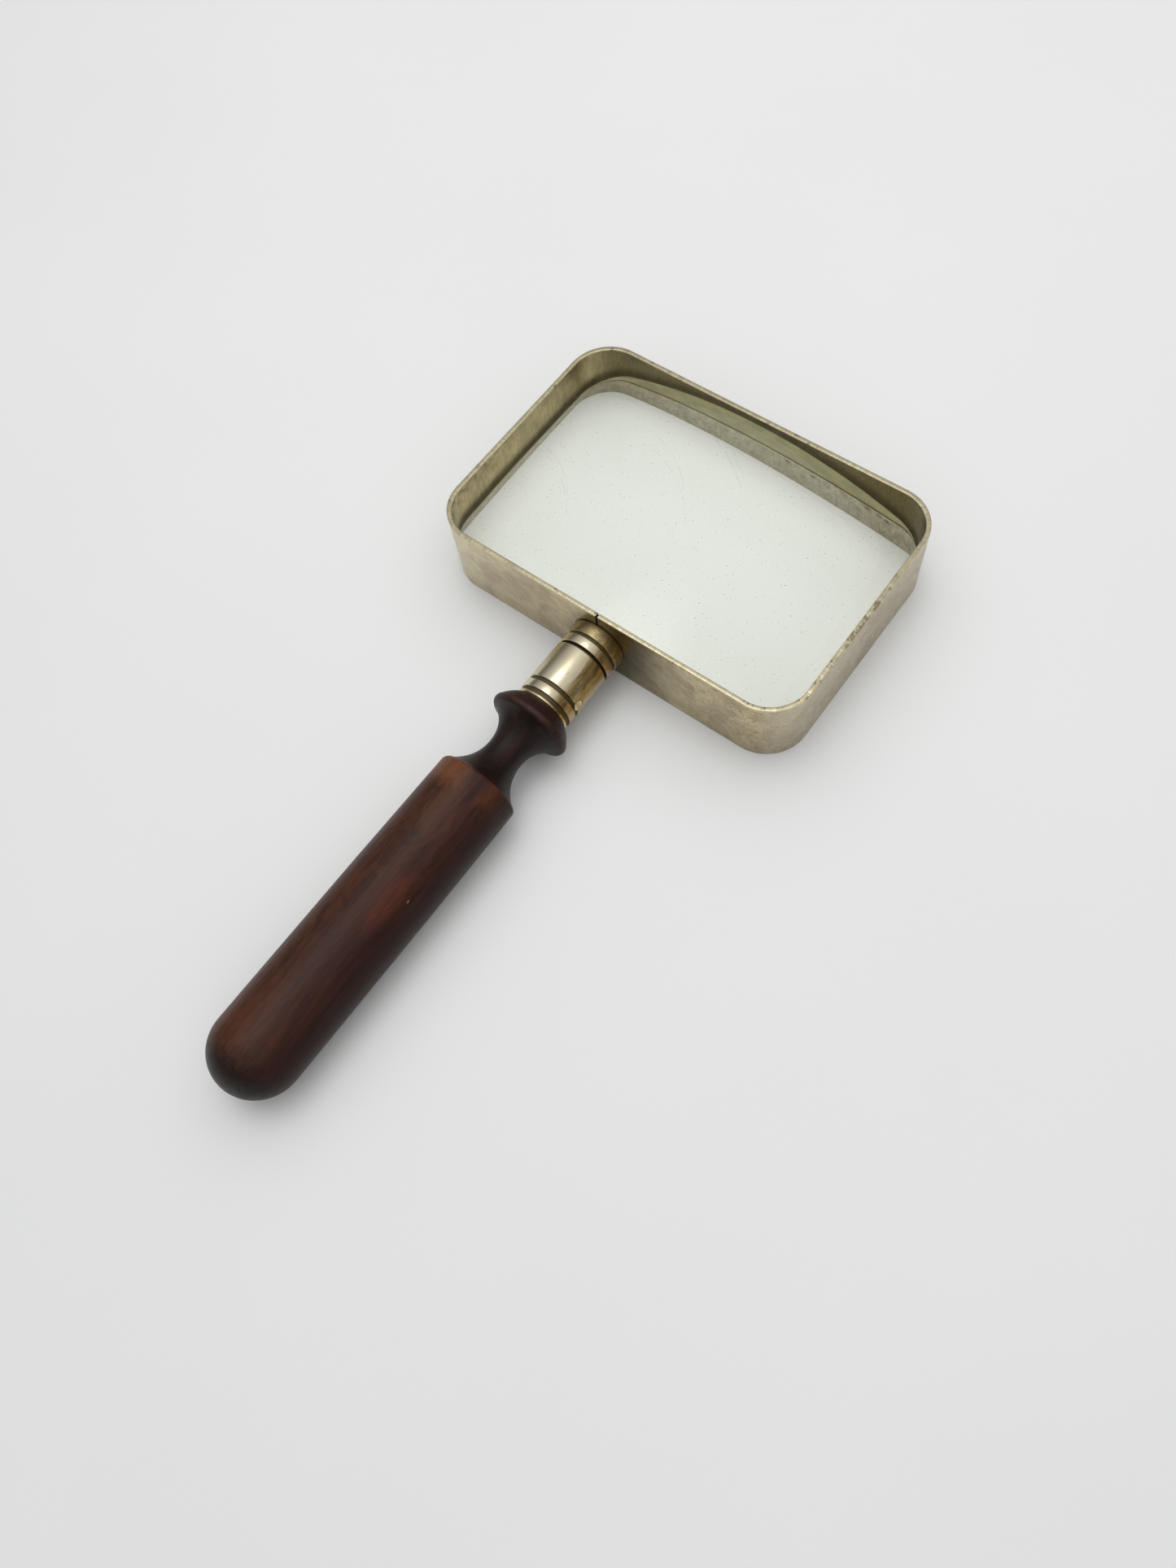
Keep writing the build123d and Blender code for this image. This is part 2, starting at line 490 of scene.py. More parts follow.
# corrosion pits inside the far wall: length along the strip and height, and their half sizes
PITS = ((125.4, 5.6), (127.6, 5.9), (131.0, 6.1), (146.6, 5.6), (153.8, 5.8))
PIT_SIZE = (0.8, 0.35)


def band_patterns(s):
    """Places on the band, and the noises that its marks share."""
    p = SimpleNamespace()
    p.x, p.y, p.z = s.object_mm()
    strip = s.add("SeparateXYZ", {0: s.add("UVMap", uv_map="strip").outputs[0]}).outputs
    p.length, p.height = strip[0], strip[1]
    p.inner = s.attribute("inner")
    p.above = s.attribute("above_glass")
    p.flat = s.vector(p.length, p.height, s.times(p.inner, 40.0))

    p.cloud = s.noise(p.flat, 0.10, 5.0, 0.6, 0.6)
    p.mottle = s.noise(p.flat, 0.45, 6.0, 0.65, 0.3)
    p.speck = s.noise(p.flat, 1.7, 3.0, 0.6)
    brushed = s.vector(s.times(p.length, 0.06), s.times(p.height, 3.2), p.inner)
    p.lengthwise = s.noise(brushed, 1.0, 5.0, 0.7)
    wiped = s.vector(s.times(p.length, 1.3), s.times(p.height, 0.16), p.inner)
    p.upright = s.noise(wiped, 1.0, 7.0, 0.75, 0.6)
    slanting = s.math("ADD", s.times(p.length, 1.1), s.times(p.height, 0.9))
    crossing = s.math("SUBTRACT", s.times(p.height, 0.12), s.times(p.length, 0.10))
    p.diagonal = s.noise(s.vector(slanting, crossing, 7.0), 1.6, 6.0, 0.75, 0.5)
    return p


def band_outside(s, p):
    """Clouded nickel, lighter, rosier, smeared and scorched in places, with a painted sheen at the left
    end of the near face and painted shade beside the collar.
    """
    colour = s.mix(s.ramp(p.cloud, 0.35, 0.65), NICKEL, NICKEL_DULL)
    colour = s.tint(colour, STAIN, s.ramp(p.mottle, 0.50, 0.72), 0.16)
    colour = s.tint(colour, NICKEL_LIGHT, s.ramp(p.mottle, 0.48, 0.30), 0.3)
    right_side = s.ramp(p.x, band_length / 2 - 9.0, band_length / 2 - 2.0)
    colour = s.tint(colour, NICKEL_PALE, right_side, 0.8)
    rosy = s.spot(p.x, p.y, (-band_length * 0.3, near_face_y), (15.0, 6.0), 1.0)
    colour = s.tint(colour, NICKEL_ROSY, rosy, s.ramp(p.cloud, 0.40, 0.55), 0.5)
    # painted sheen at the left end of the near face
    left_end_sheen = s.spot(p.x, p.y, (5.0 - band_length / 2, near_face_y), (15.0, 7.0), 0.8)
    colour = s.tint(colour, NICKEL_SHEEN, left_end_sheen, 0.5)
    blotch = s.ramp(s.noise(p.flat, 0.8, 6.0, 0.75, 1.0), 0.52, 0.62)
    near_corner = s.spot(p.x, p.y, (band_length / 2 - 13.0, near_face_y), (13.0, 6.0), 0.6)
    colour = s.tint(colour, STAIN, near_corner, blotch, 0.7)
    smeared = s.ramp(p.cloud, 0.50, 0.62)
    colour = s.tint(colour, NICKEL_SMEARED, smeared, 0.45)
    return s.tint(colour, GRIME_AND_SHADE, solder_line_and_shade(s, p.x, p.y, p.z, blotch), 0.9)


def band_inside(s, p):
    """Olive brass, with painted shade on the far wall, in the far right corner and in the dark stripe
    above the glass, and painted light on the wall below the glass; also gives where the stripe is.
    """
    far_side = lens_centre_y + band_width / 2
    colour = s.mix(s.ramp(p.cloud, 0.3, 0.7), OLIVE_BRASS, OLIVE_DULL)
    colour = s.tint(colour, OLIVE_BRIGHT, s.ramp(p.upright, 0.45, 0.75), 0.45)
    # painted shade: the far inner wall darker above the glass
    far_wall = s.ramp(p.y, far_side - 7.0, far_side - 2.0)
    colour = s.tint(colour, OLIVE_FAR_SHADE, far_wall, 0.85, s.ramp(p.above, -0.3, 0.0))
    # painted shade in the far right corner
    right_corner = s.spot(p.x, p.y, (band_length / 2 - 8.0, far_side), (22.0, 14.0))
    colour = s.tint(colour, OLIVE_CORNER_SHADE, right_corner, 0.85)
    # painted shade: dark stripe on the inner wall just above the glass
    wavering = s.math("ADD", p.above, s.times(s.math("SUBTRACT", p.mottle, 0.5), 1.6))
    stripe = s.times(s.ramp(wavering, 4.2, 1.1), s.ramp(p.above, -0.35, 0.0))
    colour = s.tint(colour, GRIME_AND_SHADE, stripe, s.blend(far_wall, 0.72, 0.22))
    stained = s.times(s.ramp(p.mottle, 0.44, 0.60), s.ramp(p.height, band_depth - 6.0, band_depth))
    left_corner = s.spot(p.x, p.y, (-band_length / 2, near_face_y + 9.0), (12.0, 16.0))
    colour = s.tint(colour, STAIN, stained, s.blend(left_corner, 0.25, 0.85))
    # painted light: the wall below the glass lighter, for light the lens gathers there, with a mottled
    # tone
    below = s.ramp(p.above, -0.5, -2.0)
    under_glass = s.mix(s.ramp(p.mottle, 0.3, 0.7), UNDER_GLASS, UNDER_GLASS_DULL)
    colour = s.tint(colour, under_glass, below, 0.9)
    pitting = s.ramp(s.noise(p.flat, 1.3, 4.0, 0.7), 0.40, 0.55)
    pits = s.most(*[s.spot(p.length, p.height, place, PIT_SIZE, 0.7) for place in PITS])
    return s.tint(colour, GRIME_AND_SHADE, pits, s.blend(pitting, 0.4, 0.9)), stripe


def band_edges(s, p, colour, rim):
    """Rim with a painted highlight along its edges, broken by wear, with small chips, a brassy foot and
    painted shade at the slit, over the walls' colour.
    """
    top = s.ramp(p.z, band_depth - 0.06, band_depth - 0.03)
    foot = s.ramp(p.z, 0.35, 0.1)
    worn = s.ramp(s.noise(p.flat, 0.35, 5.0, 0.7), 0.32, 0.5)
    # painted highlight on the rim's edges, broken by wear
    edge = s.mix(s.blend(worn, 0.35, 1.0), RIM, RIM_HIGHLIGHT)
    edge = s.mix(s.times(top, s.blend(worn, 1.0, 0.8)), edge, RIM)
    colour = s.mix(rim, colour, edge)
    near_rim = s.ramp(p.z, band_depth - 0.8, band_depth - 0.3)
    chipped = s.times(s.ramp(s.attribute("chip"), 0.25, 0.6), near_rim)
    colour = s.tint(colour, STAIN, chipped, 0.75)
    colour = s.tint(colour, BRASS, foot, 0.5)
    # painted shade at the slit's edges
    slit = s.ramp(s.math("ABSOLUTE", p.x), slit_width / 2 + 0.14, slit_width / 2 + 0.05)
    return s.tint(colour, SLIT_SHADE, slit, at_near_face(s, p.y))


def band_material():
    s = Shader("nickel_band")
    p = band_patterns(s)
    outside = band_outside(s, p)
    inside, stripe = band_inside(s, p)
    rim = s.ramp(p.z, band_depth - 0.30, band_depth - 0.12)
    colour = band_edges(s, p, s.mix(p.inner, outside, inside), rim)

    streak = s.blend(p.inner, p.lengthwise, p.upright)
    tone = s.blend(s.ramp(streak, 0.25, 0.75), 0.82, 1.12)
    # painted shade: the walls darker towards the bottom
    tone = s.times(tone, s.blend(s.ramp(p.height, 2.0, band_depth), 0.92, 1.04))
    tone = s.times(tone, s.blend(s.ramp(p.diagonal, 0.35, 0.65), 0.91, 1.08))
    colour = s.add("VectorMath", {0: colour, "Scale": tone}, operation="SCALE").outputs[0]
    rough = s.blend(s.ramp(p.mottle, 0.35, 0.7), 0.28, 0.44)
    rough = s.blend(rim, rough, 0.26)
    rough = s.blend(s.times(stripe, p.inner), rough, 0.6)
    normal = s.bump(streak, 0.02, 0.5)
    normal = s.bump(p.cloud, 0.6, 0.4, normal)
    normal = s.bump(p.speck, 0.03, 0.3, normal)
    return s.surface(Base_Color=colour, Metallic=1.0, Roughness=rough, Normal=normal)


def at_near_face(s, y):
    """1 on the band's near face, where the handle is, and 0 from 3 mm behind it."""
    return s.ramp(y, near_face_y + 3.0, near_face_y + 0.5)


def solder_line_and_shade(s, x, y, z, blotch):
    """Dark line where the collar meets the band, a blotchy scorched patch round it on the left, and
    painted shade of the collar reaching up the band on its right.
    """
    reach = s.reach(x, s.math("SUBTRACT", z, axis_height))
    line = s.ramp(reach, ferrule_radius + 0.55, ferrule_radius + 0.1)
    right = s.ramp(x, -0.2, 0.6)
    scorch = s.ramp(reach, ferrule_radius + 5.0, ferrule_radius + 0.6)
    # on the right, this patch and the wider one below are painted shade of the collar
    scorch = s.times(scorch, s.blend(right, s.blend(blotch, 0.25, 0.55), 0.85))
    collar_shade = s.times(s.ramp(reach, ferrule_radius + 17.0, ferrule_radius + 3.0), right, 0.78)
    return s.times(at_near_face(s, y), s.most(line, scorch, collar_shade))


def rounded_rectangle(length, width, radius, straight_step, corner_steps):
    """Points and outward directions along a rounded rectangle, from the middle of its near side and
    going first to +X."""
    half_x, half_y = length / 2 - radius, width / 2 - radius
    walk = []

    def straight(start, end, outward):
        span = (Vector(end) - Vector(start)).length
        count = max(1, round(span / straight_step))
        walk.extend((Vector(start).lerp(Vector(end), k / count), Vector(outward)) for k in range(count))

    def corner(middle, first_turn):
        for k in range(corner_steps):
            turn = math.radians(first_turn + 90.0 * k / corner_steps)
            outward = Vector((math.cos(turn), math.sin(turn)))
            walk.append((Vector(middle) + outward * radius, outward))

    straight((0, -width / 2), (half_x, -width / 2), (0, -1))
    corner((half_x, -half_y), -90)
    straight((length / 2, -half_y), (length / 2, half_y), (1, 0))
    corner((half_x, half_y), 0)
    straight((half_x, width / 2), (-half_x, width / 2), (0, 1))
    corner((-half_x, half_y), 90)
    straight((-length / 2, half_y), (-length / 2, -half_y), (-1, 0))
    corner((-half_x, -half_y), 180)
    straight((-half_x, -width / 2), (0, -width / 2), (0, -1))
    return walk


def lens_top(x, y):
    """Height of the dome, in millimetres."""
    along = math.sqrt(lens_long_radius**2 - (x - lens_crest_offset) ** 2)
    section = lens_crest_height - lens_long_radius + along
    arm = section - lens_crest_height + lens_cross_radius
    across = math.sqrt(arm**2 - (y - lens_centre_y) ** 2)
    return lens_crest_height - lens_cross_radius + across


def band_section():
    """The band's closed section: (depth into the wall, height), outside first."""
    wall_rows, foot_rows, edge_steps = 10, 4, 5
    wall = band_thickness
    c = rim_chamfer

    def edge(depth, height, first_turn):
        turns = [math.radians(first_turn - 90 * k / edge_steps) for k in range(1, edge_steps)]
        return [(depth + c * math.cos(turn), height + c * math.sin(turn)) for turn in turns]

    def wall_side(depth, start, end, rows):
        return [(depth, start + (end - start) * k / rows) for k in range(rows + 1)]

    outer = wall_side(0, c, band_depth - c, wall_rows)
    top = edge(c, band_depth - c, 180) + [(c, band_depth), (wall - c, band_depth)]
    top += edge(wall - c, band_depth - c, 90)
    upper = wall_side(wall, band_depth - c, groove_high, wall_rows)
    floor_low, floor_high = groove_low + lens_bevel_reach, groove_high - lens_bevel_reach
    groove = [(wall - groove_depth, floor_high), (wall - groove_depth, floor_low)]
    lower = wall_side(wall, groove_low, c, foot_rows)
    bottom = edge(wall - c, c, 0) + [(wall - c, 0), (c, 0)] + edge(c, c, -90)
    return outer + top + upper + groove + lower + bottom


def rim_wear(seed, total):
    """How deep the small chips in the upper rim are, at a length along the band."""
    rng = random.Random(seed)
    right_side = (total * 0.12, total * 0.29)
    half_widths, depths = (0.2, 0.65), (0.02, 0.075)
    places = [rng.uniform(0, total) for _ in range(12)]
    places += [rng.uniform(*right_side) for _ in range(22)]
    chips = [(place, rng.uniform(*half_widths), rng.uniform(*depths)) for place in places]

    def depth(length):
        return max(deep * math.exp(-(((length - place) / wide) ** 2)) for place, wide, deep in chips)

    return depth


def build_band(material):
    """The bent strip; its points tell the material where on the band they are."""
    straight_step, corner_steps = 0.6, 30
    full_chip = 0.06
    inner_from = band_thickness - 0.05
    walk = rounded_rectangle(band_length, band_width, band_corner_radius, straight_step, corner_steps)
    section = band_section()
    near = -band_width / 2
    first = (Vector((slit_width / 2, near)), Vector((0, -1)))
    last = (Vector((-slit_width / 2, near)), Vector((0, -1)))
    walk = [first, *walk[1:], last]
    lengths = [0.0]
    for (a, _), (b, _) in zip(walk, walk[1:]):
        lengths.append(lengths[-1] + (b - a).length)
    points, uv, inner, above, chip = [], [], [], [], []
    outer_wear = rim_wear(3, lengths[-1])
    inner_wear = rim_wear(8, lengths[-1])
    for (place, outward), length in zip(walk, lengths):
        for depth, height in section:
            worn = 0.0
            if height > band_depth - 2 * rim_chamfer:
                worn = outer_wear(length) if depth < band_thickness / 2 else inner_wear(length)
            flat = place - outward * depth
            x, y = flat.x, flat.y + lens_centre_y
            points.append((x, y, height - worn))
            uv.append((length, height))
            inner.append(1.0 if depth >= inner_from else 0.0)
            above.append(height - lens_top(x, y))
            chip.append(worn / full_chip)
    rows = len(section)
    faces = []
    for k in range(len(walk) - 1):
        faces += ring_faces(range(k * rows, (k + 1) * rows), range((k + 1) * rows, (k + 2) * rows))
    faces.append(tuple(range(rows)))
    faces.append(tuple(reversed(range((len(walk) - 1) * rows, len(walk) * rows))))
    sharp = 25
    piece = make_piece(
        "band_strip", points, faces, [material], "frame", "lens_band", sharp=sharp
    )
    mesh = piece.data
    layer = mesh.uv_layers.new(name="strip")
    for loop in mesh.loops:
        layer.data[loop.index].uv = uv[loop.vertex_index]
    for name, values in (("inner", inner), ("above_glass", above), ("chip", chip)):
        mesh.attributes.new(name, "FLOAT", "POINT").data.foreach_set("value", values)
    hole_from = (0, near_face_y - 2, axis_height)
    hole_to = (0, near_face_y + 2 * band_thickness, axis_height)
    cut(piece, rod_cutter(rivet_radius, hole_from, hole_to), sharp)
    return piece


# ---- lens ----

# hairline scratches in the dome: middle of the arc's circle, its radius, and from where to where in x
HAIRLINES = (
    ((-57.0, 34.0), 36.0, (-50.0, -29.0)),
    ((-30.0, 50.5), 33.0, (-19.0, -3.0)),
    ((-30.0, 50.0), 47.5, (-9.0, 2.0)),
)


# colours of the lens: clear glass, the haze of dust and scratches, and light gathered on the table
CLEAR_GLASS = (0.975, 0.985, 0.965)
HAZE = (0.42, 0.43, 0.40)
GATHERED_MIDDLE = (1.02, 1.025, 1.01)
GATHERED_EDGE = (1.19, 1.195, 1.175)
# the ground edge's olive is a painted reflection of the band round it
GROUND_DARK = (0.20, 0.165, 0.058)
GROUND_LIGHT = (0.29, 0.245, 0.095)
GROUND_GRAIN = (0.20, 0.19, 0.09)
GROUND_GLASS = (0.84, 0.84, 0.64)
GROUND_CLEAR = (0.6, 0.65, 0.5)
glass_bending = 1.52


def hairline(s, x, y, middle, radius, span):
    """Very thin arc scratched in the glass."""
    dx = s.math("SUBTRACT", x, middle[0])
    dy = s.math("SUBTRACT", y, middle[1])
    away = s.reach(dx, dy)
    off = s.math("ABSOLUTE", s.math("SUBTRACT", away, radius))
    return s.times(s.ramp(off, 0.12, 0.03), s.window(x, span[0], span[1], 3.0))


def glass_material():
    """Clear glass with faint dust and scratches. Shadows, bounced light and light that has been turned
    back inside it several times pass straight on."""
    s = Shader("lens_glass")
    x, y, z = s.object_mm()
    point = s.vector(x, y, s.times(z, 0.2))
    dust = s.ramp(s.noise(point, 1.5, 1.0, 0.5), 0.725, 0.755)
    glass = s.add("BsdfGlass", {"Color": CLEAR_GLASS, "Roughness": 0.0, "IOR": glass_bending})
    haze = s.add("BsdfDiffuse", {"Color": HAZE})
    broken = s.ramp(s.noise(point, 0.5, 3.0, 0.6), 0.42, 0.62)
    hairs = s.times(s.most(*[hairline(s, x, y, *line) for line in HAIRLINES]), broken, 0.2)
    marks = s.most(hairs, s.times(dust, 0.28))
    glass = s.add("MixShader", {0: marks, 1: glass.outputs[0], 2: haze.outputs[0]})
    across = s.math("ABSOLUTE", s.math("SUBTRACT", y, lens_centre_y))
    gathering = 19.0
    at_wall = s.most(
        s.ramp(across, band_width / 2 - gathering, band_width / 2),
        s.ramp(s.math("ABSOLUTE", x), band_length / 2 - gathering, band_length / 2),
    )
    gathered = s.mix(at_wall, GATHERED_MIDDLE, GATHERED_EDGE)
    clear = s.add("BsdfTransparent", {"Color": gathered})
    path = s.add("LightPath").outputs
    trapped = s.ramp(path["Ray Depth"], 3.4, 3.6)
    passing = s.most(path["Is Shadow Ray"], path["Is Diffuse Ray"], trapped)
    both = s.add("MixShader", {0: passing, 1: glass.outputs[0], 2: clear.outputs[0]})
    return s.finished(both)


def ground_edge_material():
    """The lens's matt ground edge, painted olive as a reflection of the metal round it."""
    s = Shader("lens_ground_edge")
    point = s.vector(*s.object_mm())
    grain = s.noise(point, 2.5, 5.0, 0.7)
    broad = s.noise(point, 0.12, 3.0, 0.6)
    colour = s.mix(s.ramp(broad, 0.35, 0.65), GROUND_DARK, GROUND_LIGHT)
    colour = s.tint(colour, GROUND_GRAIN, s.ramp(grain, 0.5, 0.75), 0.35)
    matt = s.add("BsdfDiffuse", {"Color": colour})
    glass = s.add("BsdfGlass", {"Color": GROUND_GLASS, "Roughness": 0.45, "IOR": glass_bending})
    both = s.add("MixShader", {0: 0.32, 1: matt.outputs[0], 2: glass.outputs[0]})
    clear = s.add("BsdfTransparent", {"Color": GROUND_CLEAR})
    path = s.add("LightPath").outputs["Is Shadow Ray"]
    final = s.add("MixShader", {0: path, 1: both.outputs[0], 2: clear.outputs[0]})
    return s.finished(final)


def build_lens(polished, ground):
    """Dome and flat underside in polished glass, and the V edge between them ground."""
    straight_step, corner_steps = 1.5, 16
    dome_rings, flat_scales = 44, (0.97, 0.7, 0.35)
    use_polished, use_ground = 0, 1
    sharp = 30
    inset = 2 * (band_thickness + lens_side_clearance)
    size = (band_length - inset, band_width - inset, band_corner_radius - inset / 2)
    outline = rounded_rectangle(*size, straight_step, corner_steps)
    count = len(outline)
    bevel_top = lens_flat_height + lens_bevel_height
    reach = lens_bevel_reach
    points, faces, marks = [], [], []

    def ring(scale, offset, height_at):
        start = len(points)
        for place, outward in outline:
            flat = place * scale + outward * offset
            points.append((flat.x, flat.y + lens_centre_y, height_at(flat.x, flat.y + lens_centre_y)))
        return list(range(start, start + count))

    def join(one, two, mark):
        faces.extend(ring_faces(one, two))
        marks.extend([mark] * count)

    def dome(x, y):
        return max(lens_top(x, y), bevel_top)

    points.append((0, lens_centre_y, dome(0, lens_centre_y)))
    rings = [[0] * count]
    for k in range(1, dome_rings + 1):
        rings.append(ring(k / dome_rings, 0, dome))
    side = [
        ring(1, 0, lambda x, y: bevel_top),
        ring(1, reach, lambda x, y: bevel_top - reach),
        ring(1, reach, lambda x, y: lens_flat_height + reach),
        ring(1, 0, lambda x, y: lens_flat_height),
    ]
    flat_rings = [ring(scale, 0, lambda x, y: lens_flat_height) for scale in flat_scales]
    points.append((0, lens_centre_y, lens_flat_height))
    flat_rings.append([len(points) - 1] * count)
    for one, two in zip(rings, rings[1:]):
        join(one, two, use_polished)
    for one, two in zip([rings[-1], *side], side):
        join(one, two, use_ground)
    for one, two in zip([side[-1], *flat_rings], flat_rings):
        join(one, two, use_polished)
    return make_piece(
        "lens_glass", points, faces, [polished, ground], "frame", "lens", marks, sharp
    )


# ---- ferrule and collar ----

FERRULE_NICKEL = (0.76, 0.70, 0.52)
FERRULE_WARM = (0.72, 0.645, 0.45)
FERRULE_SHADED = (0.35, 0.28, 0.175)
FRONT_RING = (0.45, 0.355, 0.175)
FRONT_RING_DARK = (0.29, 0.215, 0.095)
WORN_GOLD = (0.46, 0.30, 0.10)
WORN_BROWN = (0.235, 0.135, 0.045)
SPECKLE = (0.14, 0.095, 0.045)
TARNISH = (0.095, 0.066, 0.030)
PIN_BRASS = (0.70, 0.58, 0.33)
PIN_DULL = (0.44, 0.32, 0.14)
STUD_BRASS = (0.74, 0.58, 0.30)
STUD_DULL = (0.50, 0.36, 0.16)
THREAD_VALLEY = (0.12, 0.08, 0.03)
STEEL = (0.50, 0.49, 0.48)
RUST = (0.22, 0.12, 0.07)


def ferrule_material():
    """Satin nickel on the ferrule and the collar, worn to gold and brown on the right."""
    s = Shader("ferrule_nickel")
    x, distance, height = s.along_handle()
    turn = s.turn_degrees(x, height)
    point = s.vector(x, distance, height)
    round_it = s.vector(s.times(distance, 9.0), s.times(x, 0.05), s.times(height, 0.05))
    rings = s.noise(round_it, 1.0, 4.0, 0.7)
    cloud = s.noise(point, 0.16, 3.0, 0.5, 0.3)
    blotch = s.noise(point, 0.9, 5.0, 0.65, 0.6)
    along_it = s.vector(s.times(distance, 0.16), s.times(x, 0.55), s.times(height, 0.55))
    streaky = s.noise(along_it, 1.0, 6.0, 0.68, 0.8)
    fine = s.noise(s.vector(s.times(distance, 1.1), s.times(turn, 0.55), 3.0), 1.0, 2.0, 0.5, 0.4)

    colour = s.mix(s.ramp(cloud, 0.35, 0.65), FERRULE_NICKEL, FERRULE_WARM)
    colour = s.tint(colour, FERRULE_SHADED, s.shaded_side(turn, 55.0, 20.0), 0.8)
    front_ring = s.ramp(distance, 3.9, 3.3)
    bead = s.ramp(distance, 21.7, 22.0)
    colour = s.tint(colour, BRASS, bead, 0.8)
    front_tone = s.mix(s.ramp(blotch, 0.45, 0.60), FRONT_RING, FRONT_RING_DARK)
    colour = s.tint(colour, front_tone, front_ring, 0.9)
    right = s.ramp(turn, 72.0, 46.0)
    far_right = s.ramp(turn, 2.0, 14.0)
    gold = s.times(s.ramp(streaky, 0.36, 0.47), right, far_right)
    colour = s.tint(colour, WORN_GOLD, gold, 0.85)
    brown = s.times(s.ramp(streaky, 0.50, 0.58), right, s.ramp(turn, 8.0, 24.0))
    colour = s.tint(colour, WORN_BROWN, brown, 0.75)
    speckle = s.times(s.ramp(fine, 0.70, 0.76), s.window(turn, 20.0, 88.0, 10.0))
    colour = s.tint(colour, SPECKLE, speckle, 0.7)
    radius = s.reach(x, height)
    in_groove = s.ramp(radius, ferrule_radius - 0.2, ferrule_radius - 0.42)
    in_groove = s.times(in_groove, s.ramp(distance, 21.9, 21.8))
    pin_gap = pin_outline(s, turn, distance)
    dark = s.most(in_groove, pin_gap)
    colour = s.tint(colour, TARNISH, dark, 0.9)
    rough = s.blend(s.ramp(cloud, 0.3, 0.7), 0.22, 0.30)
    rough = s.blend(s.most(gold, front_ring), rough, 0.36)
    rough = s.blend(dark, rough, 0.6)
    normal = s.bump(rings, 0.008, 0.6)
    normal = s.bump(blotch, 0.03, 0.2, normal)
    return s.surface(Base_Color=colour, Metallic=1.0, Roughness=rough, Normal=normal)


def pin_outline(s, turn, distance):
    """Dark line round the filed pin head."""
    across = s.times(s.math("SUBTRACT", turn, pin_angle), math.radians(ferrule_radius))
    along = s.math("SUBTRACT", distance, pin_distance)
    reach = s.reach(across, along)
    return s.window(reach, pin_hole_radius - 0.1, pin_hole_radius + 0.1, 0.1)


# points round the turned metal, and how far and in how many steps its edges are rounded
METAL_STEPS = 192
EDGE_ROUNDING = 0.2
EDGE_STEPS = 4


def turned_groove(start, end):
    """Corners of a square groove turned in the barrel or the collar."""
    return [
        (start, ferrule_radius), (start, turned_groove_floor),
        (end, turned_groove_floor), (end, ferrule_radius),
    ]


def build_collar(material):
    corners = [
        (collar_start, stud_bore), (collar_start, ferrule_radius), *turned_groove(*collar_groove),
        (collar_end, ferrule_radius), (collar_end, stud_bore),
    ]
    profile = soften(corners, EDGE_ROUNDING, EDGE_STEPS)
    return lathe(
        "collar_ring", profile, METAL_STEPS, [material], "collar", "clamp_collar", True
    )


def build_ferrule(material):
    """Barrel with nose, two grooves and rear bead, bored out and drilled for the pin."""
    outside = [
        (ferrule_start, stud_bore), (ferrule_start, nose_radius), (barrel_start, nose_radius),
        (barrel_start, ferrule_radius), *turned_groove(*wide_groove), *turned_groove(*rear_groove)[:3],
    ]
    inside = [
        (ferrule_end, socket_radius), (bulkhead_back, socket_radius), (bulkhead_back, screw_hole_radius),
        (screw_neck, screw_hole_radius), (bulkhead_front, screw_pocket_radius),
        (bulkhead_front, stud_bore),
    ]
    bead_steps, bead_height = 8, 0.35
    middle = (rear_groove[1] + ferrule_end) / 2
    half = (ferrule_end - rear_groove[1]) / 2
    bead = []
    for k in range(bead_steps + 1):
        turn = math.pi * k / bead_steps
        crown = bead_radius - bead_height + bead_height * math.sin(turn)
        bead.append((middle - half * math.cos(turn), crown))
    profile = soften(outside, EDGE_ROUNDING, EDGE_STEPS, closed=False) + bead + inside
    piece = lathe(
        "ferrule_tube", profile, METAL_STEPS, [material], "handle", "ferrule", True
    )
    drill_for_pin(piece, socket_radius - 1.0, ferrule_radius + 1.0, 30)
    return piece


def drill_for_pin(piece, inner, outer, sharp):
    """Cut the pin's hole in a piece, between two radii from the handle's axis."""
    turn = math.radians(pin_angle)
    start = on_handle(pin_distance, inner, turn)
    end = on_handle(pin_distance, outer, turn)
    cut(piece, rod_cutter(pin_hole_radius, start, end), sharp)


def pin_material():
    s = Shader("pin_brass")
    x, distance, height = s.along_handle()
    point = s.vector(x, distance, height)
    filed = s.noise(s.vector(s.times(distance, 6.0), s.times(height, 0.4), x), 1.0, 4.0, 0.7)
    cloud = s.noise(point, 0.9, 4.0, 0.6)
    colour = s.mix(s.ramp(cloud, 0.35, 0.65), PIN_BRASS, PIN_DULL)
    rough = s.blend(filed, 0.24, 0.42)
    return s.surface(Base_Color=colour, Metallic=1.0, Roughness=rough, Normal=s.bump(filed, 0.02, 0.5))


def stud_material():
    """Brass of the half studs, with the thread as a bump and its valleys dirty."""
    s = Shader("stud_brass")
    x, distance, height = s.along_handle()
    lead = s.math("DIVIDE", s.math("ARCTAN2", height, x), 2 * math.pi / thread_pitch)
    thread = s.math("SINE", s.times(s.math("ADD", distance, lead), 2 * math.pi / thread_pitch))
    on_stud = s.ramp(distance, 0.3, 0.8)
    cloud = s.noise(s.vector(x, distance, height), 0.7, 5.0, 0.65)
    colour = s.mix(s.ramp(cloud, 0.35, 0.65), STUD_BRASS, STUD_DULL)
    valley = s.times(s.ramp(thread, 0.0, -0.8), on_stud)
    colour = s.tint(colour, THREAD_VALLEY, valley, 0.6)
    normal = s.bump(s.times(thread, on_stud), 0.25, 1.0)
    return s.surface(Base_Color=colour, Metallic=1.0, Roughness=0.32, Normal=normal)


